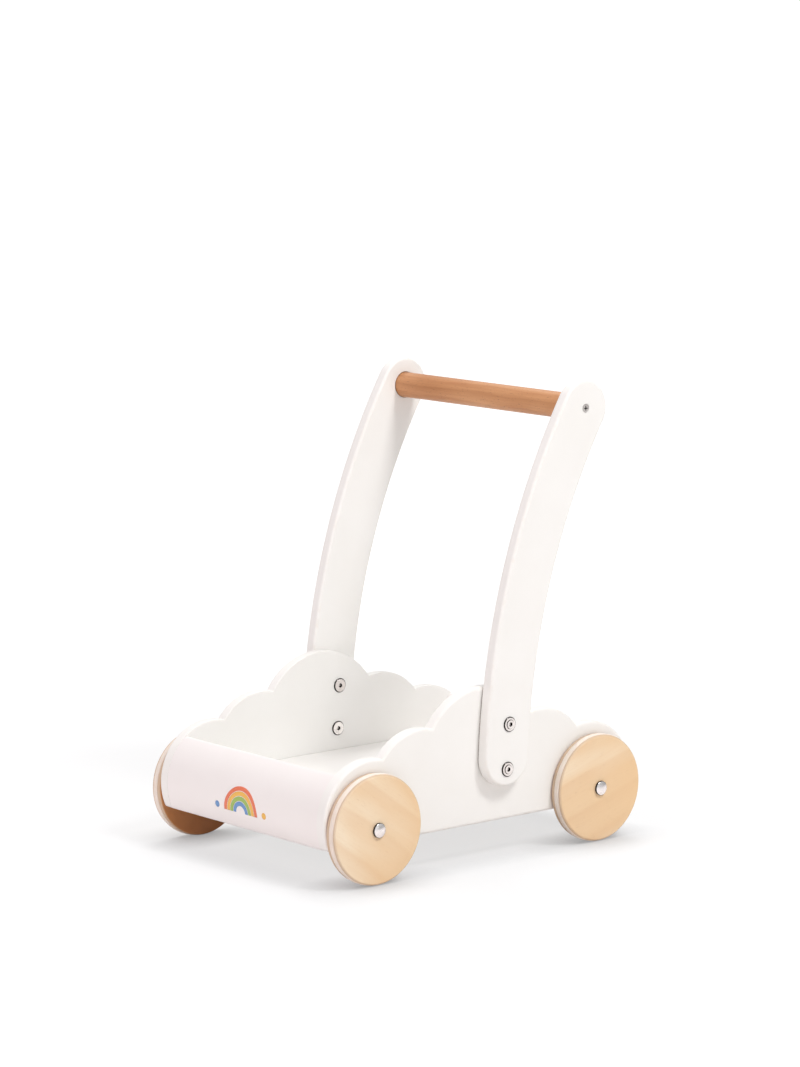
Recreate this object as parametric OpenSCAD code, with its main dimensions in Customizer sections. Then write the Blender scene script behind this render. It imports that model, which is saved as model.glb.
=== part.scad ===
// Baby walker: a toy wagon with cloud-shaped sides and four disc wheels, pushed by a
// round bar that two curved arms hold up behind its tray.
// The walker is pushed towards -Y, the bar is on the +Y side, the floor is Z = 0 and
// +X is the walker's left. The origin lies on the floor, midway between the axles.

/* [Wheels and axles] */
// Diameter of a wheel over its tyre
wheel_d = 105; // [98:1:112]
// Thickness of a wheel
wheel_t = 13; // [11:0.5:14]
// Width of the rubber tyre
tyre_w = 6.2; // [4:0.2:7]
// Distance between the two axles
wheelbase = 276; // [250:1:290]
// Diameter of an axle rod
axle_d = 8; // [6:0.5:8]
// Gap between a wheel and the side panel next to it
wheel_gap = 1; // [0.8:0.1:2]

/* [Tray] */
// Width of the tray between the side panels
tray_w = 232; // [200:1:260]
// Thickness of the wooden panels
board_t = 12; // [11:0.5:14]
// Height of the tray floor's upper face above the ground
tray_floor_h = 66; // [65:0.5:68]
// Thickness of the tray floor
floor_t = 6; // [5:0.5:6]
// Height of the panels' lower edge above the ground
panel_bottom_h = 36; // [32:1:40]
// Angle above the horizontal at which the curved end panels stop
end_panel_top_angle = 55; // [50:1:60]

/* [Cloud outline] */
// Radius of the lobe round each end
end_lobe_r = 56; // [55:0.5:58]
// Radius of the lobes between the ends and the crown
shoulder_lobe_r = 57.5; // [55:0.5:60]
// Distance of a shoulder lobe's centre from the middle
shoulder_lobe_y = 75; // [70:1:80]
// Height of the top of a shoulder lobe above the ground
shoulder_top_h = 137; // [132:1:142]
// Radius of the crown lobe
crown_lobe_r = 73; // [68:1:78]
// Height of the top of the crown lobe above the ground
crown_top_h = 167.5; // [160:0.5:175]

/* [Handle] */
// Diameter of the handle bar
bar_d = 25; // [22:1:28]
// Height of the handle bar's axis above the ground
bar_h = 423; // [400:1:440]
// Distance of the handle bar's axis behind the middle of the walker
bar_y = 119.5; // [100:0.5:130]
// Width of an arm
arm_w = 54; // [48:1:58]
// Thickness of an arm
arm_t = 13; // [11:0.5:15]
// Radius of the arms' bend, on their centre line
arm_bend_r = 686; // [500:1:900]
// Heights of the two bolts that hold an arm
bolt_heights = [87.5, 130.5]; // [85:0.5:135]

/* [Hidden] */

$fn = 96;
large_arc_fn = 720;
past = 1;               // how far a cutter runs past the face it opens

left = 1;
right = -1;
front = -1;
rear = 1;

paint_white = [0.95, 0.94, 0.92];
maple = [0.91, 0.79, 0.62];
beech = [0.78, 0.56, 0.39];
rubber_cream = [0.95, 0.91, 0.84];
steel = [0.75, 0.75, 0.76];

// Fits
running_fit = 0.05;     // radial play of a wheel on its axle
snug_fit = 0.02;        // radial play of parts that are pressed or glued
bolt_fit = 0.1;         // radial play of the nuts' barrels in the wood

// Heights and places along X
wheel_r = wheel_d / 2;
axle_h = wheel_r;
axle_y = wheelbase / 2;
panel_inner_x = tray_w / 2;
panel_outer_x = panel_inner_x + board_t;
wheel_inner_x = panel_outer_x + wheel_gap;
wheel_outer_x = wheel_inner_x + wheel_t;
arm_outer_x = panel_outer_x + arm_t;

// Wheels
axle_r = axle_d / 2;
tyre_depth = 3.4;
tyre_lift = 0.7;        // the tyre stands this proud of the wood
tyre_edge = 0.7;
rim_r = wheel_r - tyre_lift;
groove_r = wheel_r - tyre_depth;
groove_start = 0.62 * (wheel_t - tyre_w);
groove_end = groove_start + tyre_w;
inner_chamfer = 0.8;
outer_chamfer = 1.4;
washer_r = 9;
washer_play = 0.1;
cap_r = 7;
cap_h = 3.6;
cap_dome_r = 13.8;
cap_bore_depth = 2;
cap_gap = 0.3;

// Curved end panels, concentric with the side panels' end lobes
end_lobe_y = axle_y - 3.5;
end_lobe_h = axle_h + 7.7;
end_panel_inset = 0.5;
end_panel_outer_r = end_lobe_r - end_panel_inset;
end_panel_inner_r = end_panel_outer_r - board_t;
panel_play = 0.1;

// Tray floor: its lower half is a tongue that sits in grooves in the four panels
groove_depth = 4;
tongue_t = floor_t - 2;
tongue_play = 0.2;
floor_bottom_h = tray_floor_h - floor_t;
floor_edge_play = 0.3;
liner_t = 2.2;          // something this thick can lie flat on the floor

// Dowels that join the end panels to the side panels
dowel_r = 3;
dowel_in_side = 8;
dowel_in_end = 20;
dowel_angles = [-14, 21, 43];
dowel_ring_r = end_panel_outer_r - board_t / 2;

// Arms: an arc through the foot and the bar, with round ends
foot = [20.5, 98];
bar = [bar_y, bar_h];
arm_chord = bar - foot;
arm_centre = (foot + bar) / 2
    + [arm_chord.y, -arm_chord.x] / norm(arm_chord) * sqrt(pow(arm_bend_r, 2) - pow(norm(arm_chord) / 2, 2));
function arm_line_y(h) = arm_centre.x - sqrt(pow(arm_bend_r, 2) - pow(h - arm_centre.y, 2));
lower_bolt = [arm_line_y(bolt_heights[0]), bolt_heights[0]];
upper_bolt = [arm_line_y(bolt_heights[1]), bolt_heights[1]];

// Handle bar and its screws
bar_socket = 5;
bar_play = 0.1;
screw_r = 2;
screw_head_r = 4;
screw_head_t = 2.4;
screw_length = 36;
screw_sink = 0.2;
recess_length = 4.4;
recess_w = 1;
recess_depth = 1.4;

// Connector bolts and their barrel nuts
flange_r = 7.2;
flange_t = 1.3;
flange_rim_t = 0.6;
flange_bevel = 0.9;
boss_r = 4.6;
boss_t = 0.7;
boss_bevel = 0.5;
shank_r = 3;
shank_end_gap = 6;      // how far a bolt's shank stops short of the tray
barrel_r = 4.5;
barrel_length = 18;
barrel_web = 3.4;
hex_r = 2.3;
hex_depth = 1.6;

// Turns an outline drawn in (Y, Z) into a slab that starts at x and is thick along +X
module slab(x, thick) {
    translate([x, 0, 0]) rotate([90, 0, 90]) linear_extrude(thick) children();
}

// Stands a turned shape, drawn along Z, at (y, z) so that it points along +X from x
module along_x(x, at) {
    translate([x, at[0], at[1]]) rotate([0, 90, 0]) children();
}

// The children are drawn for the walker's left side
module on_side(side) {
    mirror([side == left ? 0 : 1, 0, 0]) children();
}

// The children are drawn for the front end
module at_end(end) {
    mirror([0, end == front ? 0 : 1, 0]) children();
}

// A round wall: a disc with a hole
module ring(outer_r, inner_r, height) {
    difference() {
        cylinder(r = outer_r, h = height);
        translate([0, 0, -past]) cylinder(r = inner_r, h = height + 2 * past);
    }
}

// Panels and tray

module cloud_outline() {
    lobes = [
        [0, crown_top_h - crown_lobe_r, crown_lobe_r],
        for (end = [front, rear]) each [
            [end * shoulder_lobe_y, shoulder_top_h - shoulder_lobe_r, shoulder_lobe_r],
            [end * end_lobe_y, end_lobe_h, end_lobe_r]
        ]
    ];
    intersection() {
        union() {
            for (lobe = lobes) translate([lobe[0], lobe[1]]) circle(r = lobe[2], $fn = 180);
            translate([-end_lobe_y, panel_bottom_h - past]) square([2 * end_lobe_y, end_lobe_h]);
        }
        translate([-wheelbase, panel_bottom_h]) square([2 * wheelbase, crown_top_h]);
    }
}

// The children are placed at each dowel's centre, in the end panel at the front
module at_dowels() {
    for (angle = dowel_angles) {
        translate([
            0,
            -end_lobe_y - dowel_ring_r * cos(angle),
            end_lobe_h + dowel_ring_r * sin(angle)
        ]) children();
    }
}

module side_panel(side) {
    color(paint_white) on_side(side) difference() {
        slab(panel_inner_x, board_t) cloud_outline();
        translate([panel_inner_x - past, -end_lobe_y - end_panel_inner_r - groove_depth, floor_bottom_h])
            cube([
                groove_depth + past,
                2 * (end_lobe_y + end_panel_inner_r + groove_depth),
                tongue_t + tongue_play
            ]);
        for (end = [front, rear]) {
            along_x(panel_inner_x - past, [end * axle_y, axle_h])
                cylinder(r = axle_r + snug_fit, h = board_t + 2 * past);
            at_end(end) at_dowels() along_x(panel_inner_x - past, [0, 0])
                cylinder(r = dowel_r + snug_fit, h = dowel_in_side + past + panel_play);
        }
        for (bolt = [lower_bolt, upper_bolt]) along_x(panel_inner_x - past, bolt)
            cylinder(r = barrel_r + bolt_fit, h = board_t + 2 * past);
    }
}

// A curved board between the side panels, with its grain across the walker
module end_panel(end) {
    half_w = panel_inner_x - panel_play;
    color(paint_white) at_end(end) difference() {
        slab(-half_w, 2 * half_w) intersection() {
            translate([-end_lobe_y, end_lobe_h]) difference() {
                circle(r = end_panel_outer_r, $fn = 180);
                circle(r = end_panel_inner_r, $fn = 180);
            }
            translate([-wheelbase, panel_bottom_h]) square([wheelbase - end_lobe_y, 2 * end_lobe_r]);
            translate([-end_lobe_y, end_lobe_h]) polygon([
                [0, 0],
                2 * end_lobe_r * [-cos(end_panel_top_angle), sin(end_panel_top_angle)],
                2 * end_lobe_r * [-1, 0.5],
                2 * end_lobe_r * [-1, -1],
                [0, -2 * end_lobe_r]
            ]);
        }
        translate([-half_w - past, -end_lobe_y - end_panel_inner_r - groove_depth, floor_bottom_h])
            cube([2 * (half_w + past), end_panel_inner_r, tongue_t + tongue_play]);
        for (side = [left, right]) on_side(side) at_dowels()
            along_x(half_w - dowel_in_end - panel_play, [0, 0])
            cylinder(r = dowel_r + snug_fit, h = dowel_in_end + panel_play + past);
    }
}

module tray_floor() {
    tongue_x = panel_inner_x + groove_depth - tongue_play;
    tongue_y = end_lobe_y + end_panel_inner_r + groove_depth - tongue_play;
    top_x = panel_inner_x - floor_edge_play;
    reach = sqrt(pow(end_panel_inner_r, 2) - pow(tray_floor_h + liner_t - end_lobe_h, 2));
    top_y = end_lobe_y + reach - floor_edge_play;
    color(paint_white) union() {
        translate([-tongue_x, -tongue_y, floor_bottom_h]) cube([2 * tongue_x, 2 * tongue_y, tongue_t]);
        translate([-top_x, -top_y, floor_bottom_h]) cube([2 * top_x, 2 * top_y, floor_t]);
    }
}

module dowels(end) {
    color(beech) at_end(end) for (side = [left, right]) on_side(side) at_dowels()
        along_x(panel_inner_x - dowel_in_end, [0, 0])
        cylinder(r = dowel_r, h = dowel_in_end + dowel_in_side);
}

// Wheels and axles

module axle(end) {
    half_length = wheel_outer_x + cap_gap + cap_bore_depth;
    color(steel) along_x(-half_length, [end * axle_y, axle_h]) cylinder(r = axle_r, h = 2 * half_length);
}

// The children are drawn about a wheel's axis, with Z = 0 at the face next to the panel
module at_wheel(end, side) {
    on_side(side) along_x(wheel_inner_x, [end * axle_y, axle_h]) children();
}

module wheel(end, side) {
    bore_r = axle_r + running_fit;
    color(maple) at_wheel(end, side) rotate_extrude() polygon([
        [bore_r, 0],
        [rim_r - inner_chamfer, 0],
        [rim_r, inner_chamfer],
        [rim_r, groove_start],
        [groove_r, groove_start],
        [groove_r, groove_end],
        [rim_r, groove_end],
        [rim_r, wheel_t - outer_chamfer],
        [rim_r - outer_chamfer, wheel_t],
        [bore_r, wheel_t]
    ]);
}

module tyre(end, side) {
    seat_r = groove_r + snug_fit;
    color(rubber_cream) at_wheel(end, side) rotate_extrude() polygon([
        [seat_r, groove_start + snug_fit],
        [wheel_r - tyre_edge, groove_start + snug_fit],
        [wheel_r, groove_start + tyre_edge],
        [wheel_r, groove_end - tyre_edge],
        [wheel_r - tyre_edge, groove_end - snug_fit],
        [seat_r, groove_end - snug_fit]
    ]);
}

module washer(end, side) {
    color(rubber_cream) at_wheel(end, side) translate([0, 0, washer_play - wheel_gap])
        ring(washer_r, axle_r + bolt_fit, wheel_gap - 2 * washer_play);
}

// A domed cap pressed on the end of the axle
module hub_cap(end, side) {
    color(steel) at_wheel(end, side) translate([0, 0, wheel_t + cap_gap]) rotate_extrude() difference() {
        intersection() {
            translate([0, cap_h - cap_dome_r]) circle(r = cap_dome_r);
            square([cap_r, cap_h + past]);
        }
        translate([-past, -past]) square([axle_r + snug_fit + past, cap_bore_depth + past]);
    }
}

// Handle

module arm_outline() {
    foot_ray = (foot - arm_centre) * 1.2;
    bar_ray = (bar - arm_centre) * 1.2;
    translate(arm_centre) intersection() {
        difference() {
            circle(r = arm_bend_r + arm_w / 2, $fn = large_arc_fn);
            circle(r = arm_bend_r - arm_w / 2, $fn = large_arc_fn);
        }
        polygon([[0, 0], foot_ray, bar_ray]);
    }
    for (end = [foot, bar]) translate(end) circle(r = arm_w / 2);
}

module handle_arm(side) {
    color(paint_white) on_side(side) difference() {
        slab(panel_outer_x, arm_t) arm_outline();
        for (bolt = [lower_bolt, upper_bolt]) along_x(panel_outer_x - past, bolt)
            cylinder(r = barrel_r + bolt_fit, h = arm_t + 2 * past);
        along_x(panel_outer_x - past, bar) {
            cylinder(r = bar_d / 2 + bar_play, h = bar_socket + past);
            cylinder(r = screw_r + bolt_fit, h = arm_t + 2 * past);
        }
        along_x(arm_outer_x - screw_head_t - screw_sink, bar) rotate_extrude() polygon([
            [0, 0],
            [screw_r + bolt_fit, 0],
            [screw_head_r + bolt_fit, screw_head_t],
            [screw_head_r + bolt_fit, screw_head_t + past],
            [0, screw_head_t + past]
        ]);
    }
}

module handle_bar() {
    half_length = panel_outer_x + bar_socket - bar_play;
    pilot_depth = screw_length - arm_t + bar_socket;
    color(beech) difference() {
        along_x(-half_length, bar) cylinder(r = bar_d / 2, h = 2 * half_length);
        for (side = [left, right]) on_side(side) along_x(half_length - pilot_depth, bar)
            cylinder(r = screw_r + snug_fit, h = pilot_depth + past);
    }
}

// A countersunk cross-head screw
module bar_screw(side) {
    color(steel) on_side(side) along_x(arm_outer_x - screw_sink - screw_length, bar) difference() {
        rotate_extrude() polygon([
            [0, 0],
            [screw_r, screw_r],
            [screw_r, screw_length - screw_head_t],
            [screw_head_r, screw_length],
            [0, screw_length]
        ]);
        for (turn = [0, 90]) rotate(turn)
            translate([-recess_length / 2, -recess_w / 2, screw_length - recess_depth])
            cube([recess_length, recess_w, recess_depth + past]);
    }
}

// A flanged bolt, put in from the outside of an arm
module connector_bolt(side, at) {
    shank_length = arm_t + board_t - shank_end_gap;
    color(steel) on_side(side) along_x(arm_outer_x - shank_length, at) difference() {
        union() {
            cylinder(r = shank_r, h = shank_length + flange_t);
            translate([0, 0, shank_length]) rotate_extrude() polygon([
                [0, 0],
                [flange_r, 0],
                [flange_r, flange_rim_t],
                [flange_r - flange_bevel, flange_t],
                [boss_r, flange_t],
                [boss_r - boss_bevel, flange_t + boss_t],
                [0, flange_t + boss_t]
            ]);
        }
        translate([0, 0, shank_length + flange_t + boss_t - hex_depth])
            cylinder(r = hex_r, h = hex_depth + past, $fn = 6);
    }
}

// A barrel nut with a flange, put in from inside the tray
module barrel_nut(side, at) {
    color(steel) on_side(side) along_x(panel_inner_x - flange_t, at) difference() {
        union() {
            rotate_extrude() polygon([
                [0, 0],
                [flange_r - flange_bevel, 0],
                [flange_r, flange_t - flange_rim_t],
                [flange_r, flange_t],
                [0, flange_t]
            ]);
            cylinder(r = barrel_r, h = flange_t + barrel_length);
        }
        translate([0, 0, barrel_web]) cylinder(r = shank_r + snug_fit, h = barrel_length);
        translate([0, 0, -past]) cylinder(r = hex_r, h = hex_depth + past, $fn = 6);
    }
}

side_panel(left);  // side_panel_left
side_panel(right);  // side_panel_right
end_panel(front);  // front_panel
end_panel(rear);  // rear_panel
tray_floor();
dowels(front);  // front_dowels
dowels(rear);  // rear_dowels
axle(front);  // axle_front
axle(rear);  // axle_rear
wheel(front, left);  // wheel_front_left
wheel(front, right);  // wheel_front_right
wheel(rear, left);  // wheel_rear_left
wheel(rear, right);  // wheel_rear_right
tyre(front, left);  // tyre_front_left
tyre(front, right);  // tyre_front_right
tyre(rear, left);  // tyre_rear_left
tyre(rear, right);  // tyre_rear_right
hub_cap(front, left);  // hub_cap_front_left
hub_cap(front, right);  // hub_cap_front_right
hub_cap(rear, left);  // hub_cap_rear_left
hub_cap(rear, right);  // hub_cap_rear_right
washer(front, left);  // washer_front_left
washer(front, right);  // washer_front_right
washer(rear, left);  // washer_rear_left
washer(rear, right);  // washer_rear_right
handle_arm(left);  // handle_arm_left
handle_arm(right);  // handle_arm_right
handle_bar();
bar_screw(left);  // bar_screw_left
bar_screw(right);  // bar_screw_right
connector_bolt(left, upper_bolt);  // upper_bolt_left
connector_bolt(right, upper_bolt);  // upper_bolt_right
connector_bolt(left, lower_bolt);  // lower_bolt_left
connector_bolt(right, lower_bolt);  // lower_bolt_right
barrel_nut(left, upper_bolt);  // upper_nut_left
barrel_nut(right, upper_bolt);  // upper_nut_right
barrel_nut(left, lower_bolt);  // lower_nut_left
barrel_nut(right, lower_bolt);  // lower_nut_right
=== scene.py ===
import math

import bmesh
import bpy
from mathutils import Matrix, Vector, geometry


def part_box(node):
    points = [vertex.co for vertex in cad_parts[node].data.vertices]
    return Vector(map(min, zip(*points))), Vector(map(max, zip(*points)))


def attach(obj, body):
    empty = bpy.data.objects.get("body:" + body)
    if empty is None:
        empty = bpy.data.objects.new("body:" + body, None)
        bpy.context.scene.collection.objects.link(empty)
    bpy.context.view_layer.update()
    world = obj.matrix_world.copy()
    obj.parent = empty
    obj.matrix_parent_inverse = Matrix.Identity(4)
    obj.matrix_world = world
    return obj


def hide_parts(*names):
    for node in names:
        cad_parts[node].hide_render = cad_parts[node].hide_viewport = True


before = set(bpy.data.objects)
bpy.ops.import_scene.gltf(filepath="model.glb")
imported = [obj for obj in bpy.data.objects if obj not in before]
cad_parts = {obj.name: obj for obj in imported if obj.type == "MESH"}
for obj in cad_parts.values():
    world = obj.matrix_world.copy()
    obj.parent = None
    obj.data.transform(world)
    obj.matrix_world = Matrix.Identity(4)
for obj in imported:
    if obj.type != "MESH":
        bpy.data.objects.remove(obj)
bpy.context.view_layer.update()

# The baby walker's looks. Boards, wheels, tyres, caps, the bar and the printed rainbow are
# meshes built here. The tray floor, rods, dowels, washers and fasteners are the CAD's own,
# with new materials. -Y is the pushing direction and +X the walker's left.

MM = 0.001
WALKER = "walker_frame"
ENDS = ("front", "rear")
SIDES = ("left", "right")


# Places and sizes from the frame

def middle(node):
    low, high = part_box(node)
    return (low + high) / 2


def sign_of(word):
    """+1 for left and rear, -1 for right and front."""
    return 1 if word in ("left", "rear") else -1


panel_low, panel_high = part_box("side_panel_left")
arm_low, arm_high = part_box("handle_arm_left")
wheel_low, wheel_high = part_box("wheel_rear_left")
tyre_low, tyre_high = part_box("tyre_rear_left")
cap_low, cap_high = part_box("hub_cap_rear_left")
bar_low, bar_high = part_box("handle_bar")
end_low, end_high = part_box("rear_panel")

axle_y = middle("axle_rear").y
axle_h = middle("axle_rear").z
axle_r = (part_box("axle_rear")[1].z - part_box("axle_rear")[0].z) / 2
bar_centre = Vector((middle("handle_bar").y, middle("handle_bar").z))
bar_r = (bar_high.z - bar_low.z) / 2
board_t = panel_high.x - panel_low.x

# The cloud outline's lobes
end_lobe_r = 56 * MM
shoulder_lobe_r = 57.5 * MM
shoulder_top = 137 * MM
crown_lobe_r = 73 * MM
end_lobe = Vector((panel_high.y - end_lobe_r, axle_h + 7.7 * MM))
shoulder_lobe = Vector((75 * MM, shoulder_top - shoulder_lobe_r))
crown_lobe = Vector((0, panel_high.z - crown_lobe_r))

# The end panels' outer radius, a little fuller than the CAD's, and how far up they curve
end_panel_r = end_high.y - end_lobe.x + 0.3 * MM
end_panel_top = math.radians(55)

# The arms' bend
arm_r = 27 * MM
arm_bend_r = 686 * MM
arm_foot = Vector((20.5 * MM, arm_low.z + arm_r))

# Softened edges: the side panels' outer and inner faces, seams, the arms' faces, the side
# panels' lower corners, and the end panels' upper and lower edges
face_round = 3.0 * MM
inner_round = 1.3 * MM
seam_round = 0.12 * MM
arm_round = 3.0 * MM
corner_round = 4.0 * MM
lip_round = 3.6 * MM
skirt_round = 2.0 * MM

# Holes and clearances: the axles' bores, the bolts and nuts, the bar's screws, and the tyres
axle_gap = 0.1 * MM
barrel_r = 4.6 * MM
screw_r = 2.1 * MM
groove_depth = 3.4 * MM
tyre_depth = 3.35 * MM

# How finely the meshes are cut
round_steps = 5
arc_step = 1.4 * MM
hole_steps = 48
same_place = 0.02 * MM


# Outlines, as flat points (y, z) that run anticlockwise

def polar(centre, radius, angle):
    """The place at this angle on a circle."""
    return centre + radius * Vector((math.cos(angle), math.sin(angle)))


def arc(centre, radius, start, end):
    """Points along an arc. It runs clockwise if its end angle is the smaller."""
    count = max(2, math.ceil(abs(end - start) * radius / arc_step))
    return [polar(centre, radius, start + (end - start) * i / count) for i in range(count + 1)]


def joined(arcs):
    """One closed outline from arcs that follow each other, without its doubled points."""
    points = []
    for centre, radius, start, end in arcs:
        for point in arc(centre, radius, start, end):
            if not points or (point - points[-1]).length > same_place:
                points.append(point)
    if (points[0] - points[-1]).length < same_place:
        points.pop()
    return points


def crossing(first, first_r, second, second_r):
    """The outer one of the two points where two lobes' circles cross, or where they touch."""
    apart = second - first
    along = (first_r ** 2 - second_r ** 2 + apart.length_squared) / (2 * apart.length)
    up = math.sqrt(max(first_r ** 2 - along ** 2, 0))
    direction = apart.normalized()
    outward = Vector((direction.y, -direction.x))
    return first + along * direction + up * outward


def angle_to(centre, point):
    """The angle at which a point is seen from a centre."""
    return math.atan2(point.y - centre.y, point.x - centre.x)


def cloud_outline():
    """A side panel's outline: five lobes on a flat foot with rounded corners."""
    corner_z = panel_low.z + corner_round
    reach = math.sqrt((end_lobe_r - corner_round) ** 2 - (corner_z - end_lobe.y) ** 2)
    corner = Vector((end_lobe.x + reach, corner_z))
    half = [
        (corner, corner_round),
        (end_lobe, end_lobe_r),
        (shoulder_lobe, shoulder_lobe_r),
    ]
    other_half = [(Vector((-centre.x, centre.y)), radius) for centre, radius in reversed(half)]
    lobes = half + [(crown_lobe, crown_lobe_r)] + other_half
    arcs = []
    start = -math.pi / 2
    for (centre, radius), (following, following_r) in zip(lobes, lobes[1:]):
        meeting = crossing(centre, radius, following, following_r)
        end = angle_to(centre, meeting)
        while end < start - 1e-6:
            end += 2 * math.pi
        arcs.append((centre, radius, start, end))
        start = angle_to(following, meeting)
    last, last_r = lobes[-1]
    while start > 1.5 * math.pi:
        start -= 2 * math.pi
    while start < 0:
        start += 2 * math.pi
    arcs.append((last, last_r, start, 1.5 * math.pi))
    return joined(arcs)


def arm_bend():
    """The centre of the arms' bend."""
    chord = bar_centre - arm_foot
    across = Vector((chord.y, -chord.x)).normalized()
    depth = math.sqrt(arm_bend_r ** 2 - (chord.length / 2) ** 2)
    return (arm_foot + bar_centre) / 2 + depth * across


def arm_outline():
    """An arm's outline: two arcs about the bend, closed by a half circle at each end."""
    bend = arm_bend()
    foot_angle = angle_to(bend, arm_foot)
    bar_angle = angle_to(bend, bar_centre)
    return joined([
        (bend, arm_bend_r + arm_r, bar_angle, foot_angle),
        (arm_foot, arm_r, foot_angle, foot_angle + math.pi),
        (bend, arm_bend_r - arm_r, foot_angle, bar_angle),
        (bar_centre, arm_r, bar_angle - math.pi, bar_angle),
    ])


def arm_line(height):
    """The place on an arm's centre line at this height."""
    bend = arm_bend()
    return Vector((bend.x - math.sqrt(arm_bend_r ** 2 - (height - bend.y) ** 2), height))


def end_panel_outline():
    """A curved board's section, for the rear end: two arcs about the end lobe's centre."""
    inner_r = end_panel_r - board_t
    low_z = end_low.z + skirt_round
    drop = low_z - end_lobe.y

    def foot(radius):
        return Vector((end_lobe.x + math.sqrt(radius ** 2 - drop ** 2), low_z))

    def lip(radius):
        return polar(end_lobe, radius, end_panel_top - math.asin(lip_round / radius))

    outer_foot = foot(end_panel_r - skirt_round)
    inner_foot = foot(inner_r + skirt_round)
    outer_lip = lip(end_panel_r - lip_round)
    inner_lip = lip(inner_r + lip_round)
    cut = end_panel_top + math.pi / 2
    outer_start = angle_to(end_lobe, outer_foot)
    outer_end = angle_to(end_lobe, outer_lip)
    inner_start = angle_to(end_lobe, inner_lip)
    inner_end = angle_to(end_lobe, inner_foot)
    return joined([
        (outer_foot, skirt_round, -math.pi / 2, outer_start),
        (end_lobe, end_panel_r, outer_start, outer_end),
        (outer_lip, lip_round, outer_end, cut),
        (inner_lip, lip_round, cut, inner_start + math.pi),
        (end_lobe, inner_r, inner_start, inner_end),
        (inner_foot, skirt_round, inner_end + math.pi, 1.5 * math.pi),
    ])


def inset(points, distances):
    """The closed outline moved inwards, each point by its own distance, with mitred corners."""
    moved = []
    for i, point in enumerate(points):
        before = (point - points[i - 1]).normalized()
        after = (points[(i + 1) % len(points)] - point).normalized()
        inward = Vector((-before.y - after.y, before.x + after.x)) / (1 + before.dot(after))
        moved.append(point + distances[i] * inward)
    return moved


# Meshes

def make_object(name, mesh, material, body, stands_for=()):
    """A piece that rides on a body and takes the place of the CAD nodes it stands for."""
    piece = bpy.data.objects.new(name, mesh)
    bpy.context.scene.collection.objects.link(piece)
    piece.data.materials.append(material)
    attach(piece, body)
    if stands_for:
        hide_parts(*stands_for)
    return piece


def smoothed(built, name, sharp_angle=50):
    """A mesh from a bmesh, smooth but for edges sharper than sharp_angle degrees."""
    bmesh.ops.recalc_face_normals(built, faces=built.faces)
    mesh = bpy.data.meshes.new(name)
    built.to_mesh(mesh)
    built.free()
    mesh.shade_smooth()
    mesh.set_sharp_from_angle(angle=math.radians(sharp_angle))
    return mesh


def even_normals(piece):
    """Keeps flat faces flat next to softened edges."""
    weighted = piece.modifiers.new("normals", "WEIGHTED_NORMAL")
    weighted.keep_sharp = True
    weighted.weight = 100


def face_loop(built, loop, next_loop):
    """A band of faces between two closed loops of as many points."""
    for i in range(len(loop)):
        j = (i + 1) % len(loop)
        built.faces.new((loop[i], loop[j], next_loop[j], next_loop[i]))


def cap_face(built, outer, holes):
    """Fills a flat outline, less its holes, with triangles."""
    loops = [outer] + holes
    corners = [vert for loop in loops for vert in loop]
    flat = [[Vector((vert.co.y, vert.co.z, 0)) for vert in loop] for loop in loops]
    for triangle in geometry.tessellate_polygon(flat):
        built.faces.new([corners[i] for i in triangle])


def hole_rings(built, centre, stations):
    """A hole's wall: rings at (x, radius) from one face of a board to the other."""
    rings = []
    for x, radius in stations:
        ring = []
        for i in range(hole_steps):
            spot = polar(centre, radius, 2 * math.pi * i / hole_steps)
            ring.append(built.verts.new((x, spot.x, spot.y)))
        rings.append(ring)
    for ring, following in zip(rings, rings[1:]):
        face_loop(built, ring, following)
    return rings


def rounded_board(name, outline, start_x, end_x, start_rounds, end_rounds, holes=()):
    """A board between two places along X, with both its faces' edges rounded over.
    The rounds hold a radius for each point, and each hole is (centre, stations)."""
    built = bmesh.new()
    worn = built.verts.layers.float.new("edge")
    rings = []

    def round_over(face_x, inward, rounds, angles):
        for angle in angles:
            near = inset(outline, [radius * (1 - math.sin(angle)) for radius in rounds])
            ring = []
            for point, radius in zip(near, rounds):
                x = face_x + inward * radius * (1 - math.cos(angle))
                ring.append(built.verts.new((x, point.x, point.y)))
                ring[-1][worn] = math.sin(2 * angle)
            rings.append(ring)

    quarter = [i / round_steps * math.pi / 2 for i in range(round_steps + 1)]
    round_over(start_x, 1, start_rounds, quarter)
    round_over(end_x, -1, end_rounds, reversed(quarter))
    for ring, following in zip(rings, rings[1:]):
        face_loop(built, ring, following)
    walls = [hole_rings(built, centre, stations) for centre, stations in holes]
    cap_face(built, rings[0], [wall[0] for wall in walls])
    cap_face(built, rings[-1], [wall[-1] for wall in walls])
    return smoothed(built, name)


def lathe(name, profile, centre, steps=128):
    """A turned solid about an axis along X. The closed profile is (x, radius) points."""
    built = bmesh.new()
    on_axis = 1e-7
    rings = []
    for x, radius in profile:
        if radius < on_axis:
            rings.append([built.verts.new((x, centre.x, centre.y))])
            continue
        ring = []
        for i in range(steps):
            spot = polar(centre, radius, 2 * math.pi * i / steps)
            ring.append(built.verts.new((x, spot.x, spot.y)))
        rings.append(ring)
    for ring, following in zip(rings, rings[1:] + rings[:1]):
        if len(ring) == 1 and len(following) == 1:
            continue
        for i in range(steps):
            j = (i + 1) % steps
            if len(ring) == 1:
                built.faces.new((ring[0], following[j], following[i]))
            elif len(following) == 1:
                built.faces.new((ring[i], ring[j], following[0]))
            else:
                built.faces.new((ring[i], ring[j], following[j], following[i]))
    return smoothed(built, name, 40)


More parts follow.
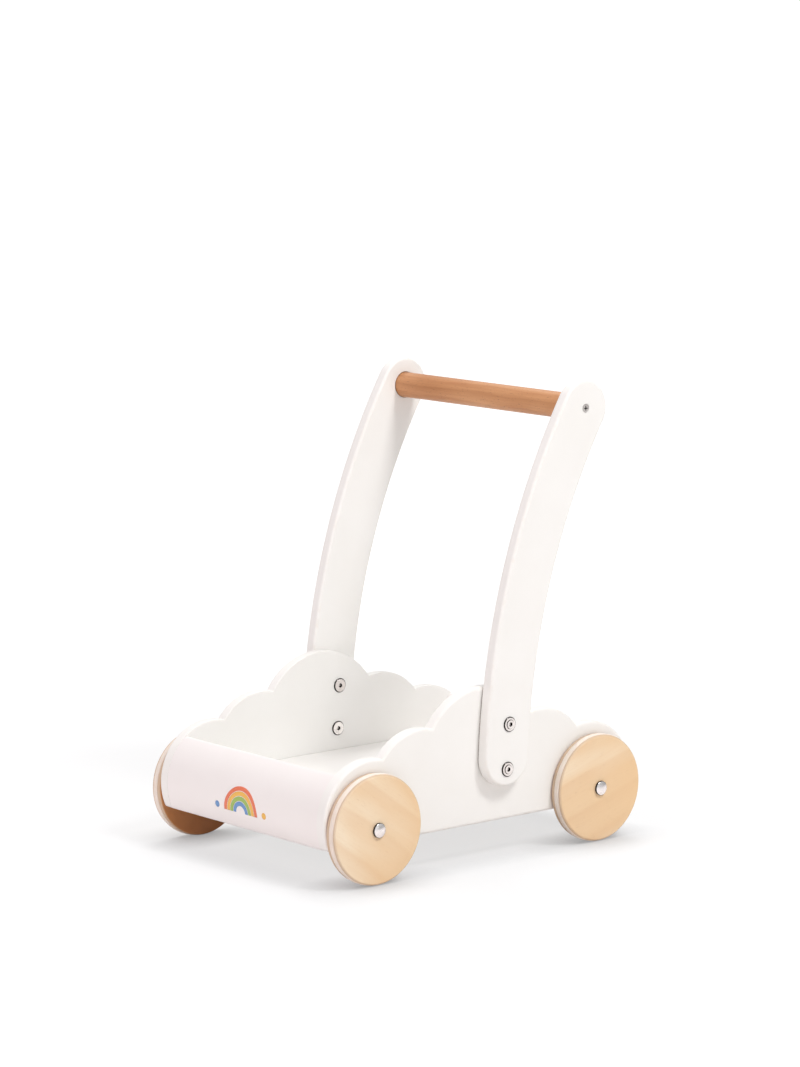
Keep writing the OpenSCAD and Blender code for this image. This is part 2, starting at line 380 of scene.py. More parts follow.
def softened(corners, radius, steps=4):
    """A lathe's closed profile with each corner rounded. A corner is (x, radius), or
    (x, radius, round) where it has a round of its own."""
    points = []
    longest_share = 0.45
    for i, corner in enumerate(corners):
        here = Vector(corner[:2])
        before = Vector(corners[i - 1][:2]) - here
        after = Vector(corners[(i + 1) % len(corners)][:2]) - here
        bend = corner[2] if len(corner) > 2 else radius
        bend = min(bend, longest_share * before.length, longest_share * after.length)
        start = here + bend * before.normalized()
        end = here + bend * after.normalized()
        for k in range(steps + 1):
            t = k / steps
            points.append((1 - t) ** 2 * start + 2 * t * (1 - t) * here + t ** 2 * end)
    return points


# Shader helpers

def node(tree, kind, values=None, **options):
    """A shader node. A value is a constant, or a socket that is linked in."""
    made = tree.nodes.new("ShaderNode" + kind)
    for key, value in options.items():
        setattr(made, key, value)
    for socket, value in (values or {}).items():
        if isinstance(value, bpy.types.NodeSocket):
            tree.links.new(value, made.inputs[socket])
        else:
            made.inputs[socket].default_value = value
    return made


def mapped(tree, vector, scale=(1, 1, 1), turn=(0, 0, 0), shift=(0, 0, 0)):
    """A place scaled, turned and shifted, so that a noise can be stretched along the grain."""
    values = {"Vector": vector, "Scale": scale, "Rotation": turn, "Location": shift}
    return node(tree, "Mapping", values).outputs["Vector"]


def object_place(tree):
    """Where a point is in its own object's coordinates, in metres."""
    return node(tree, "TexCoord").outputs["Object"]


def noise(tree, vector, scale=1.0, detail=2.0, roughness=0.5):
    values = {"Vector": vector, "Scale": scale, "Detail": detail, "Roughness": roughness}
    return node(tree, "TexNoise", values).outputs["Fac"]


def spread(tree, value, low, high, to_low=0.0, to_high=1.0):
    """value, from low to high, spread over to_low to to_high and held inside them."""
    values = {"Value": value, "From Min": low, "From Max": high, "To Min": to_low, "To Max": to_high}
    return node(tree, "MapRange", values).outputs["Result"]


def maths(tree, operation, first, second=0.0):
    """A sum, product or other operation on two values."""
    return node(tree, "Math", {0: first, 1: second}, operation=operation).outputs["Value"]


def mixed(tree, share, first, second):
    """A colour between two others. Sockets 6 and 7 are the node's colours, output 2 its result."""
    values = {0: share, 6: first, 7: second}
    return node(tree, "Mix", values, data_type="RGBA").outputs[2]


def axis_part(tree, vector, axis):
    """How far a vector points along an axis, whichever way along it."""
    parts = node(tree, "SeparateXYZ", {"Vector": vector})
    return maths(tree, "ABSOLUTE", parts.outputs[axis])


def crevices(tree, distance, open_share, closed_share):
    """A mask for painted shade, from ambient occlusion: 1 deep in gaps and recesses, 0 on open faces."""
    seen = node(tree, "AmbientOcclusion", {"Distance": distance}, samples=8).outputs["AO"]
    return spread(tree, seen, closed_share, open_share, 1, 0)


def bump(tree, height, distance, strength=1.0, normal=None):
    """A relief this deep, on top of another one where its normal is given."""
    values = {"Height": height, "Distance": distance, "Strength": strength}
    if normal:
        values["Normal"] = normal
    return node(tree, "Bump", values).outputs["Normal"]


def shade(red, green, blue):
    """An opaque colour in linear light."""
    return (red, green, blue, 1.0)


def surface_shader(tree):
    """A material's main shader."""
    return next(part for part in tree.nodes if part.type == "BSDF_PRINCIPLED")


def new_material(name, **constants):
    """A material with its shader's constants set, such as Metallic=1."""
    material = bpy.data.materials.new(name)
    material.use_nodes = True
    tree = material.node_tree
    shader = surface_shader(tree)
    for key, value in constants.items():
        shader.inputs[key.replace("_", " ")].default_value = value
    return material, tree, shader


def set_surface(tree, shader, colour, roughness=None, normal=None):
    """Links a shader's colour, roughness and relief, in place of any earlier links."""
    for socket, value in (("Base Color", colour), ("Roughness", roughness), ("Normal", normal)):
        if value is not None:
            tree.links.new(value, shader.inputs[socket])


# Materials. A board's seed moves its pattern, so that no two look alike.

plain_white = (shade(0.892, 0.884, 0.857), shade(0.912, 0.906, 0.884))
# The end panels' paint: a pinker, darker copy of the white, painted to stand in for the pink bounce light
# and shade on the front panel.
pink_shade_white = (shade(0.900, 0.868, 0.854), shade(0.918, 0.890, 0.878))


def white_paint(name, seed, tones=plain_white):
    """Satin white paint on board: faint cloudiness, sprayed texture, edges rubbed a little, and painted
    shade darkening it in gaps and recesses.
    """
    fleck = shade(0.86, 0.82, 0.78)
    undercoat = shade(0.80, 0.72, 0.62)
    gap_shade = shade(0.22, 0.15, 0.11)
    material, tree, shader = new_material(name, Specular_IOR_Level=0.45)
    place = mapped(tree, object_place(tree), shift=(seed * 1.7, seed * 0.9, seed * 2.3))
    cloudy = noise(tree, place, 14, 3, 0.55)
    speck = noise(tree, place, 420, 2, 0.6)
    paint = mixed(tree, spread(tree, cloudy, 0.35, 0.65), *tones)
    paint = mixed(tree, spread(tree, speck, 0.70, 0.80, 0, 0.25), paint, fleck)
    edge = node(tree, "Attribute", attribute_name="edge").outputs["Fac"]
    patchy = spread(tree, noise(tree, place, 90, 4, 0.7), 0.48, 0.70)
    rubbed = maths(tree, "MULTIPLY", edge, patchy)
    paint = mixed(tree, maths(tree, "MULTIPLY", rubbed, 0.30), paint, undercoat)
    # Painted shade: the paint turns dark brown in gaps and recesses, where shade falls.
    gaps = crevices(tree, 1.5 * MM, 0.40, 0.15)
    paint = mixed(tree, maths(tree, "MULTIPLY", gaps, 0.8), paint, gap_shade)
    roughness = spread(tree, noise(tree, place, 60, 3, 0.6), 0.3, 0.7, 0.36, 0.46)
    sprayed = bump(tree, noise(tree, place, 900, 2, 0.5), 0.03 * MM, 0.5)
    brushed = bump(tree, noise(tree, place, 160, 2, 0.5), 0.06 * MM, 0.4, sprayed)
    set_surface(tree, shader, paint, roughness, brushed)
    return material


def wood(name, seed, turn, tones, ring_gap, shares, pore_scale, roughness):
    """Clear-finished wood whose grain runs along its own X after the turn: growth rings
    about a far pith, slow zones of tone, fine fibres and short dark pores. The shares say
    how strongly the rings, the fibres and the pores show."""
    ring_share, fibre_share, pore_share = shares
    pale, warm, deep, pore = tones
    material, tree, shader = new_material(name, Specular_IOR_Level=0.28, Coat_Weight=0.05,
                                          Coat_Roughness=0.35)
    place = mapped(tree, object_place(tree), turn=turn, shift=(seed * 0.31, seed * 0.17, seed * 0.23))
    wander = noise(tree, mapped(tree, place, scale=(3, 14, 14)), 1, 3, 0.5)
    zones = noise(tree, mapped(tree, place, scale=(7, 26, 26)), 1, 2, 0.5)
    fibres = noise(tree, mapped(tree, place, scale=(14, 620, 620)), 1, 4, 0.65)
    hairs = noise(tree, mapped(tree, place, scale=(50, 2600, 2600)), 1, 2, 0.5)
    dashes = noise(tree, mapped(tree, place, scale=pore_scale), 1, 1, 0.5)

    across = mapped(tree, place, scale=(0.05, 1, 1), shift=(0, 0, 0.09))
    from_pith = node(tree, "VectorMath", {0: across}, operation="LENGTH").outputs["Value"]
    wavy = maths(tree, "ADD", from_pith, maths(tree, "MULTIPLY", wander, 0.030))
    ring = maths(tree, "FRACT", maths(tree, "DIVIDE", wavy, ring_gap))
    late = maths(tree, "MULTIPLY", spread(tree, ring, 0.25, 0.90), spread(tree, ring, 1.0, 0.88))

    colour = mixed(tree, spread(tree, zones, 0.38, 0.62), pale, warm)
    colour = mixed(tree, maths(tree, "MULTIPLY", late, ring_share), colour, deep)
    colour = mixed(tree, spread(tree, fibres, 0.42, 0.66, 0, fibre_share), colour, deep)
    colour = mixed(tree, spread(tree, hairs, 0.50, 0.75, 0, fibre_share / 2), colour, pale)
    pores = spread(tree, dashes, 0.66, 0.76, 0, pore_share)
    colour = mixed(tree, pores, colour, pore)

    gloss = spread(tree, fibres, 0.3, 0.7, roughness - 0.05, roughness + 0.08)
    grain = bump(tree, fibres, 0.05 * MM, 0.5)
    grain = bump(tree, maths(tree, "MULTIPLY", pores, -1.0), 0.10 * MM, 0.6, grain)
    set_surface(tree, shader, colour, gloss, grain)
    return material, tree, shader, colour


def maple(name, seed, slope, centre):
    """Pale wheel wood, warmer towards the heart side, with painted shade on its face next to the
    panel and turned edges darker, partly for end grain and partly as painted shade. slope is how
    far the grain turns from level, in the wheel's face, and centre is the wheel's middle."""
    pale, warm = shade(0.90, 0.76, 0.57), shade(0.84, 0.62, 0.39)
    deep, pore = shade(0.74, 0.48, 0.27), shade(0.50, 0.30, 0.16)
    heartwood = shade(0.82, 0.56, 0.31)
    inboard_shade = shade(0.60, 0.22, 0.06)
    edge_grain_and_shade = shade(0.56, 0.42, 0.31)
    material, tree, shader, colour = wood(
        name, seed, wheel_turn(slope), (pale, warm, deep, pore), ring_gap=26 * MM,
        shares=(0.34, 0.10, 0.30), pore_scale=(120, 2400, 2400), roughness=0.46)
    heartward = Vector((math.cos(slope), math.sin(slope)))
    values = {0: object_place(tree), 1: (0, heartward.x, heartward.y)}
    along = node(tree, "VectorMath", values, operation="DOT_PRODUCT").outputs["Value"]
    middle_along = centre.dot(heartward)
    heart = spread(tree, along, middle_along - 30 * MM, middle_along + 52 * MM, 0, 0.60)
    colour = mixed(tree, heart, colour, heartwood)
    outward = axis_part(tree, object_place(tree), "X")
    facing = axis_part(tree, node(tree, "TexCoord").outputs["Normal"], "X")
    border = 0.2 * MM
    # Painted shade: the face next to the panel, under the walker, is painted darker and redder.
    next_to_panel = spread(tree, outward, tyre_low.x - border, tyre_low.x + border, 0.85, 0)
    inboard_shade_share = maths(tree, "MULTIPLY", next_to_panel, spread(tree, facing, 0.5, 0.9))
    colour = mixed(tree, inboard_shade_share, colour, inboard_shade)
    # The turned edges and chamfers darken, partly for their end grain and partly as painted shade on the
    # edge.
    rim = spread(tree, facing, 0.55, 0.95, 0.75, 0)
    colour = mixed(tree, rim, colour, edge_grain_and_shade)
    set_surface(tree, shader, colour)
    return material


def wheel_turn(slope):
    """Turns the grain from X to a line in the Y-Z plane, slope radians from level."""
    return (-slope, 0, math.radians(-90))


def beech(name, seed):
    """Steamed beech, orange-brown, with short dark flecks."""
    pale, warm = shade(0.65, 0.335, 0.160), shade(0.50, 0.220, 0.090)
    deep, pore = shade(0.37, 0.142, 0.052), shade(0.16, 0.06, 0.025)
    along_x = (0, 0, 0)
    material, *_ = wood(
        name, seed, along_x, (pale, warm, deep, pore), ring_gap=7 * MM,
        shares=(0.28, 0.24, 0.60), pore_scale=(300, 1300, 1300), roughness=0.40)
    return material


def tyre_rubber():
    """Cream rubber, matt and a little dusty."""
    cream, pale_cream = shade(0.84, 0.74, 0.65), shade(0.87, 0.79, 0.71)
    dust = shade(0.82, 0.70, 0.61)
    material, tree, shader = new_material("tyre_rubber", Specular_IOR_Level=0.4, Subsurface_Weight=0.06,
                                          Subsurface_Radius=(0.003, 0.002, 0.001))
    place = object_place(tree)
    mottled = noise(tree, place, 120, 4, 0.6)
    dusty = spread(tree, noise(tree, place, 38, 3, 0.6), 0.45, 0.72, 0, 0.35)
    tone = mixed(tree, spread(tree, mottled, 0.35, 0.65), cream, pale_cream)
    tone = mixed(tree, dusty, tone, dust)
    roughness = spread(tree, mottled, 0.3, 0.7, 0.55, 0.70)
    skin = bump(tree, noise(tree, place, 1500, 2, 0.5), 0.04 * MM, 0.6)
    set_surface(tree, shader, tone, roughness, skin)
    return material


def metal(name, colour, dull_colour, roughness, scratch_scale, scratch, dark_reflection_sides=None):
    """Bare or plated metal: fine scratches that run one way, dull patches, and painted shade in
    recesses. The last argument holds two values of the normal's part along X: below the first
    the metal is painted black as a dark reflection, and above the second it is bare."""
    recess_shade = shade(0.030, 0.026, 0.024)
    dark_reflection = shade(0.035, 0.031, 0.030)
    material, tree, shader = new_material(name, Metallic=1.0)
    place = object_place(tree)
    patches = noise(tree, place, 180, 3, 0.6)
    lines = noise(tree, mapped(tree, place, scale=scratch_scale), 1, 3, 0.6)
    tone = mixed(tree, spread(tree, patches, 0.45, 0.75), colour, dull_colour)
    # Painted shade: the metal turns near black in recesses.
    tone = mixed(tree, crevices(tree, 2.5 * MM, 0.72, 0.52), tone, recess_shade)
    # Painted reflection: faces turned away from X are painted black, standing for the dark surroundings
    # they would reflect.
    if dark_reflection_sides:
        facing = axis_part(tree, node(tree, "TexCoord").outputs["Normal"], "X")
        tone = mixed(tree, spread(tree, facing, *dark_reflection_sides, 1, 0), tone, dark_reflection)
    gloss = spread(tree, lines, 0.3, 0.7, roughness * 0.75, roughness * 1.35)
    set_surface(tree, shader, tone, gloss, bump(tree, lines, scratch, 0.5))
    return material


def nylon():
    """Natural nylon for the spacer washers."""
    material, tree, shader = new_material("nylon", Specular_IOR_Level=0.5, Subsurface_Weight=0.1,
                                          Subsurface_Radius=(0.002, 0.002, 0.0015))
    place = object_place(tree)
    dull, clean = shade(0.84, 0.82, 0.77), shade(0.90, 0.89, 0.85)
    tone = mixed(tree, noise(tree, place, 300, 3, 0.6), dull, clean)
    roughness = spread(tree, noise(tree, place, 700, 2, 0.5), 0.3, 0.7, 0.38, 0.52)
    skin = bump(tree, noise(tree, place, 1200, 2, 0.5), 0.02 * MM, 0.5)
    set_surface(tree, shader, tone, roughness, skin)
    return material


def ink(name, colour):
    """Screen-printed colour: slightly uneven cover and a soft gloss."""
    material, tree, shader = new_material(name, Specular_IOR_Level=0.5)
    place = object_place(tree)
    thin = spread(tree, noise(tree, place, 700, 3, 0.7), 0.50, 0.75, 0, 0.18)
    faded = [0.6 * part + 0.36 for part in colour]
    tone = mixed(tree, thin, shade(*colour), shade(*faded))
    roughness = spread(tree, noise(tree, place, 300, 2, 0.5), 0.3, 0.7, 0.32, 0.42)
    film = bump(tree, noise(tree, place, 1800, 2, 0.5), 0.01 * MM, 0.5)
    set_surface(tree, shader, tone, roughness, film)
    return material


def bare_ply(name, seed):
    """The tray floor: white on top, bare warm birch ply underneath."""
    material = white_paint(name, seed)
    tree = material.node_tree
    shader = surface_shader(tree)
    painted = shader.inputs["Base Color"].links[0].from_socket
    fibres = noise(tree, mapped(tree, object_place(tree), scale=(12, 400, 400)), 1, 4, 0.6)
    pale, deep = shade(0.62, 0.38, 0.19), shade(0.50, 0.28, 0.13)
    ply = mixed(tree, spread(tree, fibres, 0.35, 0.65), pale, deep)
    normal = node(tree, "TexCoord").outputs["Normal"]
    upward = node(tree, "SeparateXYZ", {"Vector": normal}).outputs["Z"]
    colour = mixed(tree, spread(tree, upward, -0.6, -0.4, 1, 0), painted, ply)
    set_surface(tree, shader, colour)
    return material


# The caps' and bolts' sides are painted dark as a painted reflection.
chrome = metal("chrome", shade(0.93, 0.91, 0.91), shade(0.86, 0.84, 0.83), roughness=0.27,
               scratch_scale=(400, 90, 90), scratch=0.004 * MM, dark_reflection_sides=(0.70, 0.86))
nickel = metal("nickel", shade(0.90, 0.88, 0.86), shade(0.76, 0.73, 0.70), roughness=0.24,
               scratch_scale=(900, 160, 160), scratch=0.008 * MM, dark_reflection_sides=(0.80, 0.93))
rod_steel = metal("rod_steel", shade(0.56, 0.56, 0.57), shade(0.40, 0.39, 0.38), roughness=0.34,
                  scratch_scale=(2400, 60, 60), scratch=0.010 * MM)
rubber = tyre_rubber()
washer_nylon = nylon()


# Boards

def cloud_rounds(outline):
    """Radii for the panels' inner edges: nearly square where an end panel meets them."""
    rounds = []
    blend = 12 * MM
    for point in outline:
        beyond = abs(point.x) - end_lobe.x
        height = point.y - end_lobe.y
        past_lip = math.atan2(height, beyond) - end_panel_top if beyond > 0 or height > 0 else -1
        share = min(max(past_lip * end_lobe_r / blend, 0), 1)
        rounds.append(seam_round + (inner_round - seam_round) * share)
    return rounds


def through(x_from, x_to, radius, rim=0.3 * MM):
    """Stations of a straight hole with a small chamfer at each mouth."""
    return [(x_from, radius + rim), (x_from + rim, radius), (x_to - rim, radius), (x_to, radius + rim)]


def mirror_mesh(mesh, axis):
    """Flips a mesh across the middle of the walker along this axis, 0 for X or 1 for Y."""
    for vert in mesh.vertices:
        vert.co[axis] = -vert.co[axis]
    mesh.flip_normals()


bolt_places = [arm_line(middle(bolt).z) for bolt in ("lower_bolt_left", "upper_bolt_left")]


def place_board(name, mesh, paint, flipped_axis=None):
    """Puts a board in place of its CAD node, mirrored across an axis if one is given."""
    if flipped_axis is not None:
        mirror_mesh(mesh, flipped_axis)
    even_normals(make_object(name + "_board", mesh, paint, WALKER, [name]))


def make_side_panel(side):
    """A cloud board with its axle holes and the holes for the arm's nuts."""
    name = f"side_panel_{side}"
    outline = cloud_outline()
    inner, outer = panel_low.x, panel_high.x
    axle_hole = through(inner, outer, axle_r + axle_gap)
    nut_hole = through(inner, outer, barrel_r)
    holes = [(Vector((y, axle_h)), axle_hole) for y in (-axle_y, axle_y)]
    holes += [(bolt, nut_hole) for bolt in bolt_places]
    outer_rounds = [face_round] * len(outline)
    mesh = rounded_board(name + "_board", outline, inner, outer, cloud_rounds(outline), outer_rounds, holes)
    paint = white_paint(name + "_paint", seed=3 + sign_of(side))
    place_board(name, mesh, paint, 0 if side == "right" else None)


def make_arm(side):
    """An arm with its bolt holes, and a blind socket for the bar with the screw's hole through."""
    name = f"handle_arm_{side}"
    outline = arm_outline()
    inner, outer = arm_low.x, arm_high.x
    socket_r = bar_r + 0.45 * MM
    socket_end = bar_high.x + 0.1 * MM
    head_r = 4.2 * MM
    sink = 2.7 * MM
    bar_hole = [
        (inner, socket_r + 0.4 * MM),
        (inner + 0.4 * MM, socket_r),
        (socket_end, socket_r),
        (socket_end, screw_r),
        (outer - sink, screw_r),
        (outer - 0.3 * MM, head_r),
        (outer, head_r + 0.2 * MM),
    ]
    holes = [(bolt, through(inner, outer, barrel_r)) for bolt in bolt_places]
    holes.append((bar_centre, bar_hole))
    rounds = [arm_round] * len(outline)
    mesh = rounded_board(name + "_board", outline, inner, outer, rounds, rounds, holes)
    paint = white_paint(name + "_paint", seed=7 + sign_of(side))
    place_board(name, mesh, paint, 0 if side == "right" else None)


def make_end_panel(end):
    """A curved board between the side panels."""
    name = f"{end}_panel"
    outline = end_panel_outline()
    rounds = [seam_round] * len(outline)
    mesh = rounded_board(name + "_board", outline, -panel_low.x, panel_low.x, rounds, rounds)
    # The end panels take the pinker, darker white: painted bounce light and shade.
    paint = white_paint(name + "_paint", seed=11 + sign_of(end), tones=pink_shade_white)
    place_board(name, mesh, paint, 1 if end == "front" else None)


# Wheels, tyres and caps. Their profiles are a left wheel's, from the panel outwards.

grain_slopes = {
    ("front", "left"): math.radians(-35),
    ("front", "right"): math.radians(52),
    ("rear", "left"): math.radians(17),
    ("rear", "right"): math.radians(-71),
}


def wheel_profile():
    """A disc with chamfered edges and a groove round it for the tyre."""
    rim_r = (wheel_high.z - wheel_low.z) / 2
    seat_r = (tyre_high.z - tyre_low.z) / 2 - groove_depth
    inner, outer = wheel_low.x, wheel_high.x
    groove_gap = 0.15 * MM
    groove_in, groove_out = tyre_low.x - groove_gap, tyre_high.x + groove_gap
    bore_r = axle_r + axle_gap
    inner_chamfer = 1.0 * MM
    outer_chamfer = 1.5 * MM
    return softened([
        (inner, bore_r, 0.3 * MM),
        (inner, rim_r - inner_chamfer, 0.7 * MM),
        (inner + inner_chamfer, rim_r, 0.7 * MM),
        (groove_in, rim_r, 0.35 * MM),
        (groove_in, seat_r, 0.2 * MM),
        (groove_out, seat_r, 0.2 * MM),
        (groove_out, rim_r, 0.35 * MM),
        (outer - outer_chamfer, rim_r, 0.8 * MM),
        (outer, rim_r - outer_chamfer, 0.8 * MM),
        (outer, bore_r, 0.4 * MM),
    ], 0.3 * MM)


def tyre_profile():
    """A flat band with a slightly crowned tread."""
    tread_r = (tyre_high.z - tyre_low.z) / 2
    seat_r = tread_r - tyre_depth
    shoulder_r = tread_r - 0.15 * MM
    return softened([
        (tyre_low.x, seat_r),
        (tyre_low.x, shoulder_r, 1.3 * MM),
        ((tyre_low.x + tyre_high.x) / 2, tread_r, 1.5 * MM),
        (tyre_high.x, shoulder_r, 1.3 * MM),
        (tyre_high.x, seat_r),
    ], 0.3 * MM)


def cap_profile():
    """A push-on cap: a straight wall and a shallow dome, hollow where it grips the axle."""
    cap_r = (cap_high.z - cap_low.z) / 2
    wall = 1.7 * MM
    rise = cap_high.x - cap_low.x - wall
    dome_r = (cap_r ** 2 + rise ** 2) / (2 * rise)
    dome_edge = math.asin(cap_r / dome_r)
    grip_r = axle_r + 0.15 * MM
    grip_end = cap_low.x + 2.0 * MM
    soft = 0.25 * MM
    dome_steps = 12
    dome_share = 0.97
    points = [
        Vector((grip_end, 0)),
        Vector((grip_end, grip_r)),
        Vector((cap_low.x, grip_r + soft)),
        Vector((cap_low.x, cap_r - soft)),
        Vector((cap_low.x + soft, cap_r)),
        Vector((cap_low.x + wall - soft, cap_r)),
    ]
    for k in range(dome_steps + 1):
        angle = dome_edge * (dome_share - dome_share * k / dome_steps)
        points.append(Vector((cap_high.x - dome_r * (1 - math.cos(angle)), dome_r * math.sin(angle))))
    return points


def make_wheel(end, side):
    """A wheel, its tyre and its cap."""
    place = f"{end}_{side}"
    body = f"{end}_{side}_wheel"
    centre = Vector((sign_of(end) * axle_y, axle_h))
    seed = 5 + 3 * sign_of(end) + 1.5 * sign_of(side)
    disc_wood = maple(f"maple_{place}", seed, grain_slopes[end, side], centre)
    parts = [
        ("wheel_", "_disc", wheel_profile(), disc_wood, body, "maple"),
        ("tyre_", "_ring", tyre_profile(), rubber, body, "rubber"),
        ("hub_cap_", "_dome", cap_profile(), chrome, WALKER, "chrome"),
    ]
    for first, last, profile, material, rides_on, slot in parts:
        cad_name = first + place
        mesh = lathe(cad_name + last, profile, centre)
        if side == "right":
            mirror_mesh(mesh, 0)
        piece = make_object(cad_name + last, mesh, material, rides_on, [cad_name])
        even_normals(piece)


def make_bar():
    """A dowel with chamfered ends, bored for its screws. Rings along it keep its faces short."""
    end_x = bar_high.x
    ring_x = panel_high.x * 0.5
    chamfer = 1.0 * MM
    profile = [
        Vector((-end_x, screw_r)),
        Vector((-end_x, bar_r - chamfer)),
        Vector((-end_x + chamfer, bar_r)),
        Vector((-ring_x, bar_r)),
        Vector((0, bar_r)),
        Vector((ring_x, bar_r)),
        Vector((end_x - chamfer, bar_r)),
        Vector((end_x, bar_r - chamfer)),
        Vector((end_x, screw_r)),
    ]
    mesh = lathe("handle_bar_dowel", profile, bar_centre, 96)
    bar_wood = beech("beech_bar", seed=2.0)
    piece = make_object("handle_bar_dowel", mesh, bar_wood, WALKER, ["handle_bar"])
    even_normals(piece)


# The rainbow printed on the front panel

print_colours = [
    (0.82, 0.20, 0.10),
    (0.88, 0.50, 0.10),
    (0.35, 0.52, 0.12),
    (0.15, 0.32, 0.62),
]
print_band = 4.2 * MM
print_gap = 0.6 * MM
print_outer_r = 25.5 * MM
print_foot_angle = math.radians(-8.5)
print_t = 0.12 * MM
spot_r = 3.2 * MM
spot_x = 36 * MM


def on_front(x, up):
    """A place on the front panel's outside, up along its curve from the print's foot."""
    angle = print_foot_angle + up / end_panel_r
    reach = end_panel_r + print_t
    return (x, -(end_lobe.x + reach * math.cos(angle)), end_lobe.y + reach * math.sin(angle))


def print_patch(name, rows, material):
    """A thin printed patch from rows of places on the front panel."""
    built = bmesh.new()
    corners = [[built.verts.new(on_front(x, up)) for x, up in row] for row in rows]
    for row, following in zip(corners, corners[1:]):
        for k in range(len(row) - 1):
            built.faces.new((row[k], row[k + 1], following[k + 1], following[k]))
    bmesh.ops.remove_doubles(built, verts=built.verts, dist=0.001 * MM)
    mesh = smoothed(built, name)
    if mesh.polygons[0].normal.y > 0:
        mesh.flip_normals()
    piece = make_object(name, mesh, material, WALKER)
    shell = piece.modifiers.new("thickness", "SOLIDIFY")
    shell.thickness = 1.5 * print_t
    shell.offset = -1


def make_rainbow():
    """Four bands, and a spot on each side of their feet."""
    inks = [ink(f"ink_{number + 1}", colour) for number, colour in enumerate(print_colours)]
    band_steps = 48
    spot_steps = 24
    across = 3
    for number, colour in enumerate(inks):
        outer_r = print_outer_r - number * (print_band + print_gap)
        rows = []
        for i in range(band_steps + 1):
            turn = math.pi * i / band_steps
            radii = [outer_r - print_band * k / across for k in range(across + 1)]
            rows.append([(radius * math.cos(turn), radius * math.sin(turn)) for radius in radii])
        print_patch(f"rainbow_band_{number + 1}", rows, colour)
    for side, colour in zip(SIDES, (inks[1], inks[3])):
        rows = []
        for i in range(spot_steps + 1):
            turn = 2 * math.pi * i / spot_steps
            radii = [spot_r, 0.5 * spot_r, 0]
            rows.append([
                (sign_of(side) * spot_x + radius * math.cos(turn), spot_r + radius * math.sin(turn))
                for radius in radii
            ])
        print_patch(f"print_spot_{side}", rows, colour)


# CAD parts that stay, with materials and eased edges

def dress(name, material, eased=None):
    """Gives a CAD part its material, and bevels its edges by eased."""
    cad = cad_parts[name]
    for material_slot in cad.material_slots:
        material_slot.material = material
    if eased:
        weld = cad.modifiers.new("weld", "WELD")
        weld.merge_threshold = 0.002 * MM
        bevel = cad.modifiers.new("eased edges", "BEVEL")
        bevel.width = eased
        bevel.segments = 2
        bevel.limit_method = "ANGLE"
        bevel.angle_limit = math.radians(35)
        even_normals(cad)


for side in SIDES:
    make_side_panel(side)
    make_arm(side)
    dress(f"bar_screw_{side}", nickel, 0.12 * MM)
    for kind in ("upper_bolt", "lower_bolt", "upper_nut", "lower_nut"):
        dress(f"{kind}_{side}", nickel, 0.15 * MM)
    for end in ENDS:
        make_wheel(end, side)
        dress(f"washer_{end}_{side}", washer_nylon, 0.1 * MM)

for end in ENDS:
    make_end_panel(end)
    dress(f"axle_{end}", rod_steel, 0.3 * MM)
    dress(f"{end}_dowels", beech(f"beech_{end}_dowels", seed=4 + sign_of(end)), 0.3 * MM)

dress("tray_floor", bare_ply("tray_floor_paint", seed=15))
make_bar()
make_rainbow()


# Floor, light and camera

def make_floor():
    """A white sheet. To the camera it glows, as painted light brighter far away, and darker next to the
    walker as a painted shadow.
    """
    size = 6.0
    mesh = bpy.data.meshes.new("floor")
    corners = [(-size, -size, 0), (size, -size, 0), (size, size, 0), (-size, size, 0)]
    mesh.from_pydata(corners, [], [(0, 1, 2, 3)])
    floor = bpy.data.objects.new("floor", mesh)
    bpy.context.scene.collection.objects.link(floor)
    material, tree, shader = new_material("floor_white", Roughness=0.9, Specular_IOR_Level=0.1)
    to_camera = node(tree, "LightPath").outputs["Is Camera Ray"]
    away = node(tree, "VectorMath", {0: object_place(tree)}, operation="LENGTH").outputs["Value"]
    # Painted light: the glow the camera sees rises with distance from the walker.
    glow = spread(tree, away, 0.5, 1.5, 0.71, 1.0)
    bounced, seen = shade(0.82, 0.79, 0.785), shade(0.25, 0.25, 0.255)
    colour = mixed(tree, to_camera, bounced, seen)
    # Painted shadow: the glow dims where the walker hides the floor close by.
    contact_shadow = crevices(tree, 50 * MM, 0.96, 0.40)
    share = maths(tree, "SUBTRACT", 1.0, maths(tree, "MULTIPLY", contact_shadow, 0.55))
    glow = maths(tree, "MULTIPLY", maths(tree, "MULTIPLY", to_camera, glow), share)
    tree.links.new(colour, shader.inputs["Base Color"])
    tree.links.new(glow, shader.inputs["Emission Strength"])
    shader.inputs["Emission Color"].default_value = shade(1, 1, 1)
    floor.data.materials.append(material)


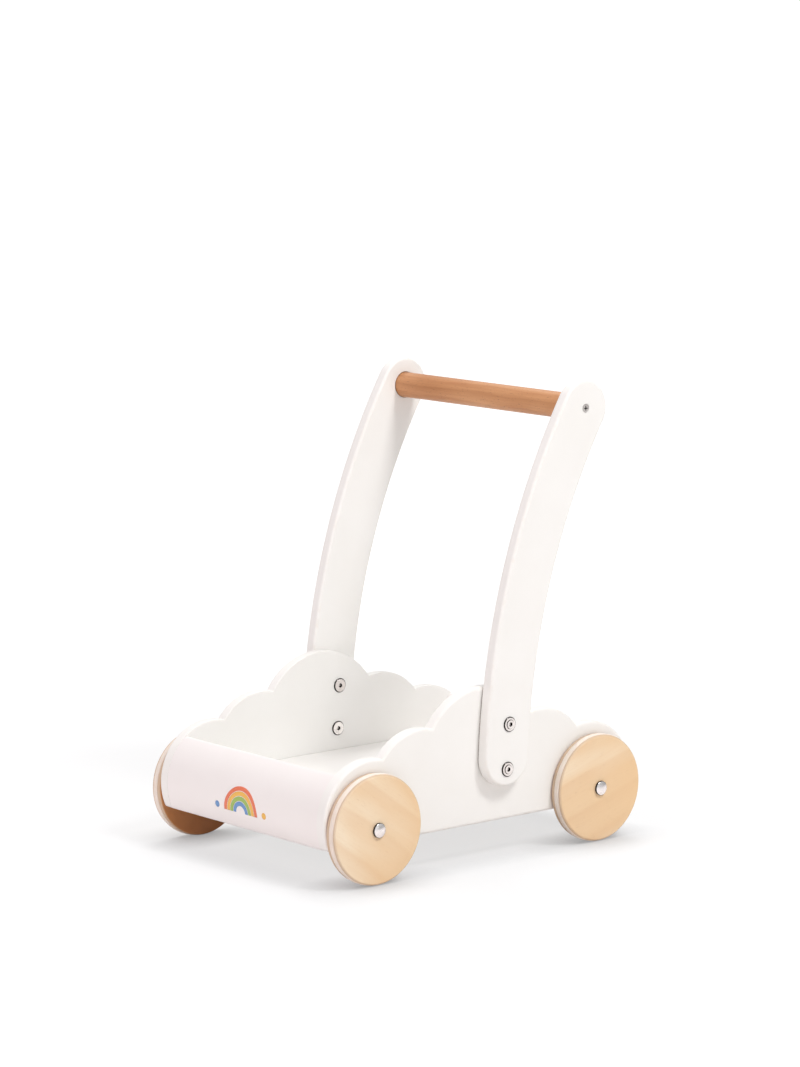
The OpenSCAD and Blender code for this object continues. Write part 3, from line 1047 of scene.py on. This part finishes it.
def make_world():
    """A white room: even to the camera, a little darker low down for what it lights."""
    world = bpy.data.worlds.new("studio")
    bpy.context.scene.world = world
    world.use_nodes = True
    tree = world.node_tree
    tree.nodes.clear()
    direction = node(tree, "TexCoord").outputs["Generated"]
    height = node(tree, "SeparateXYZ", {"Vector": direction}).outputs["Z"]
    level = spread(tree, height, -0.1, 0.8, 0.37, 0.60)
    to_camera = node(tree, "LightPath").outputs["Is Camera Ray"]
    strength = maths(tree, "MAXIMUM", level, maths(tree, "MULTIPLY", to_camera, 1.05))
    light = node(tree, "Background", {"Color": shade(1.0, 0.99, 0.985), "Strength": strength})
    output = node(tree, "OutputWorld")
    tree.links.new(light.outputs["Background"], output.inputs["Surface"])


def make_lamp(name, azimuth, elevation, distance, size, power, colour):
    """A soft box that faces the walker's middle. Azimuth 0 is in front, 90 on its left."""
    target = Vector((0, 0, 0.2))
    turn, lift = math.radians(azimuth), math.radians(elevation)
    back = Vector((math.sin(turn) * math.cos(lift), -math.cos(turn) * math.cos(lift), math.sin(lift)))
    lamp = bpy.data.lights.new(name, "AREA")
    lamp.shape = "DISK"
    lamp.size = size
    lamp.energy = power
    lamp.color = colour
    holder = bpy.data.objects.new(name, lamp)
    bpy.context.scene.collection.objects.link(holder)
    holder.location = target + distance * back
    holder.rotation_euler = back.to_track_quat("Z", "Y").to_euler()


def make_camera():
    """A long lens, in front and to the left, a little above the walker."""
    azimuth, elevation, roll = math.radians(50.56), math.radians(8.71), math.radians(-0.32)
    distance = 3.74
    aim = Vector((0, 0, 0.2988))
    aside = 0.0048
    right = Vector((math.cos(azimuth), math.sin(azimuth), 0))
    back = Vector((math.sin(azimuth) * math.cos(elevation), -math.cos(azimuth) * math.cos(elevation),
                   math.sin(elevation)))
    lens = bpy.data.cameras.new("camera")
    lens.sensor_width = 36
    lens.lens = 131.2
    lens.clip_start = 0.1
    lens.clip_end = 50
    camera = bpy.data.objects.new("camera", lens)
    bpy.context.scene.collection.objects.link(camera)
    camera.location = aim + aside * right + distance * back
    camera.rotation_euler = back.to_track_quat("Z", "Y").to_euler()
    camera.rotation_euler.rotate_axis("Z", roll)
    bpy.context.scene.camera = camera


make_floor()
make_world()
make_lamp("key", 102, 50, 2.6, 0.7, 30, (1.0, 0.99, 0.98))
make_lamp("back", 225, 55, 2.6, 1.0, 20, (1.0, 0.99, 0.985))
make_lamp("side_fill", 80, 14, 2.8, 2.6, 5, (1.0, 0.99, 0.98))
make_lamp("front_fill", -5, 30, 2.8, 2.2, 23, (1.0, 0.86, 0.89))
make_camera()
bpy.context.scene.view_settings.view_transform = "Standard"
